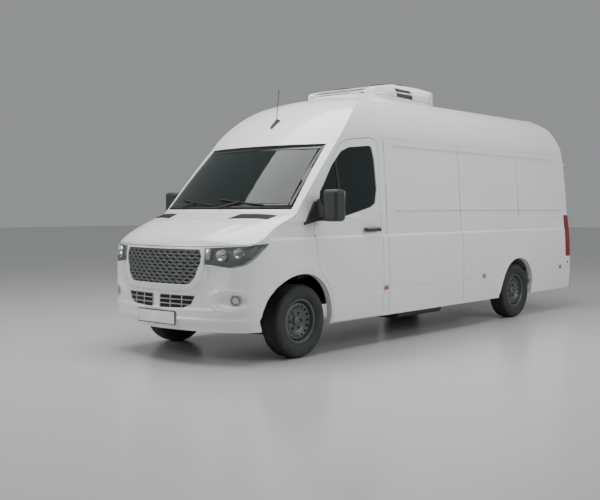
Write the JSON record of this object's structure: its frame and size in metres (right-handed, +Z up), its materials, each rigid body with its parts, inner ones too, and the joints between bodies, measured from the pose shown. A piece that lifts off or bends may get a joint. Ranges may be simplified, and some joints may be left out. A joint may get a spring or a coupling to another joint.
{
  "type": "refrigerated panel van",
  "caption": "White high-roof panel van with a cooling unit on the roof, opening doors and bonnet, steering front wheels and an insulated load space.",
  "frame": {"origin": "on the ground under the middle of the vehicle's length and width", "axes": "+X to the vehicle's left side, +Y to its rear, +Z up; the front faces -Y"},
  "size_m": [2.5, 6.9672, 2.8999],
  "materials": {
    "body_paint": "gloss",
    "black_plastic": "textured",
    "grey_plastic": "matte",
    "white_plastic": "gloss",
    "clear_lens": "gloss",
    "tinted_glass": "gloss",
    "tyre_rubber": "matte",
    "wheel_steel": "satin",
    "frame_steel": "satin",
    "cast_metal": "matte",
    "light_alloy": "satin",
    "seat_cloth": "woven",
    "floor_rubber": "matte"
  },
  "bodies": {
    "vehicle_body": {"aerial": "black_plastic", "bulkhead": "grey_plastic", "cab_floor": "frame_steel", "cab_frame": "body_paint", "chassis_frame": "frame_steel", "condenser_housing": "white_plastic", "dashboard": "black_plastic", "drive_shaft": "frame_steel", "engine_block": "cast_metal", "evaporator": "white_plastic", "front_axle": "frame_steel", "front_bumper": "body_paint", "front_wings": "body_paint", "fuel_tank": "black_plastic", "headlamps": "clear_lens", "left_side_wall": "body_paint", "load_floor": "floor_rubber", "radiator": "light_alloy", "radiator_grille": "black_plastic", "rear_axle": "frame_steel", "rear_bumper": "body_paint", "right_side_wall": "body_paint", "roof": "body_paint", "seats": "seat_cloth", "sliding_door": "body_paint", "windscreen": "tinted_glass"},
    "front_door_left": {"front_door_left": "body_paint", "door_glass_left": "tinted_glass", "door_mirror_left": "black_plastic"},
    "front_door_right": {"front_door_right": "body_paint", "door_glass_right": "tinted_glass", "door_mirror_right": "black_plastic"},
    "rear_door_left": {"rear_door_left": "body_paint"},
    "rear_door_right": {"rear_door_right": "body_paint"},
    "bonnet": {"bonnet": "body_paint"},
    "knuckle_left": {"knuckle_left": "cast_metal"},
    "knuckle_right": {"knuckle_right": "cast_metal"},
    "wheel_front_left": {"tyre_front_left": "tyre_rubber", "rim_front_left": "wheel_steel"},
    "wheel_front_right": {"tyre_front_right": "tyre_rubber", "rim_front_right": "wheel_steel"},
    "wheel_rear_left": {"tyre_rear_left": "tyre_rubber", "rim_rear_left": "wheel_steel"},
    "wheel_rear_right": {"tyre_rear_right": "tyre_rubber", "rim_rear_right": "wheel_steel"},
    "steering_wheel": {"steering_wheel": "black_plastic"},
    "condenser_fan_left": {"condenser_fan_left": "black_plastic"},
    "condenser_fan_right": {"condenser_fan_right": "black_plastic"}
  },
  "joints": [
    {"name": "front_door_left_hinge", "type": "hinge", "parent": "vehicle_body", "child": "front_door_left", "pos_m": [1, -2.2515, 0.9], "axis": [0, 0, -1], "range_deg": [0, 65]},
    {"name": "front_door_right_hinge", "type": "hinge", "parent": "vehicle_body", "child": "front_door_right", "pos_m": [-1, -2.2515, 0.9], "axis": [0, 0, 1], "range_deg": [0, 65]},
    {"name": "rear_door_left_hinge", "type": "hinge", "parent": "vehicle_body", "child": "rear_door_left", "pos_m": [0.889, 3.4375, 0.8], "axis": [0.0363, 0.0577, -0.9977], "range_deg": [0, 180]},
    {"name": "rear_door_right_hinge", "type": "hinge", "parent": "vehicle_body", "child": "rear_door_right", "pos_m": [-0.889, 3.4375, 0.8], "axis": [0.0363, -0.0577, 0.9977], "range_deg": [0, 180]},
    {"name": "bonnet_hinge", "type": "hinge", "parent": "vehicle_body", "child": "bonnet", "pos_m": [0, -2.5575, 1.402], "axis": [-1, 0, 0], "range_deg": [0, 50]},
    {"name": "steer_left", "type": "hinge", "parent": "vehicle_body", "child": "knuckle_left", "pos_m": [0.79, -2.4795, 0.354], "axis": [0, 0, 1], "range_deg": [-35, 35]},
    {"name": "steer_right", "type": "hinge", "parent": "vehicle_body", "child": "knuckle_right", "pos_m": [-0.79, -2.4795, 0.354], "axis": [0, 0, 1], "range_deg": [-35, 35]},
    {"name": "steering_wheel_turn", "type": "hinge", "parent": "vehicle_body", "child": "steering_wheel", "pos_m": [0.39, -1.9195, 1.23], "axis": [0, 0.848, 0.5299], "range_deg": [-525, 525]},
    {"name": "wheel_front_left_spin", "type": "hinge", "parent": "knuckle_left", "child": "wheel_front_left", "pos_m": [0.855, -2.4795, 0.354], "axis": [1, 0, 0], "continuous": true},
    {"name": "wheel_front_right_spin", "type": "hinge", "parent": "knuckle_right", "child": "wheel_front_right", "pos_m": [-0.855, -2.4795, 0.354], "axis": [1, 0, 0], "continuous": true},
    {"name": "wheel_rear_left_spin", "type": "hinge", "parent": "vehicle_body", "child": "wheel_rear_left", "pos_m": [0.855, 1.8455, 0.354], "axis": [1, 0, 0], "continuous": true},
    {"name": "wheel_rear_right_spin", "type": "hinge", "parent": "vehicle_body", "child": "wheel_rear_right", "pos_m": [-0.855, 1.8455, 0.354], "axis": [1, 0, 0], "continuous": true},
    {"name": "condenser_fan_left_spin", "type": "hinge", "parent": "vehicle_body", "child": "condenser_fan_left", "pos_m": [0.27, -0.1495, 2.85], "axis": [0, 0, 1], "continuous": true},
    {"name": "condenser_fan_right_spin", "type": "hinge", "parent": "vehicle_body", "child": "condenser_fan_right", "pos_m": [-0.27, -0.1495, 2.85], "axis": [0, 0, 1], "continuous": true}
  ],
  "couplings": [
    {"joint": "steer_right", "follows": "steer_left", "ratio": 1},
    {"joint": "steering_wheel_turn", "follows": "steer_left", "ratio": 15}
  ]
}
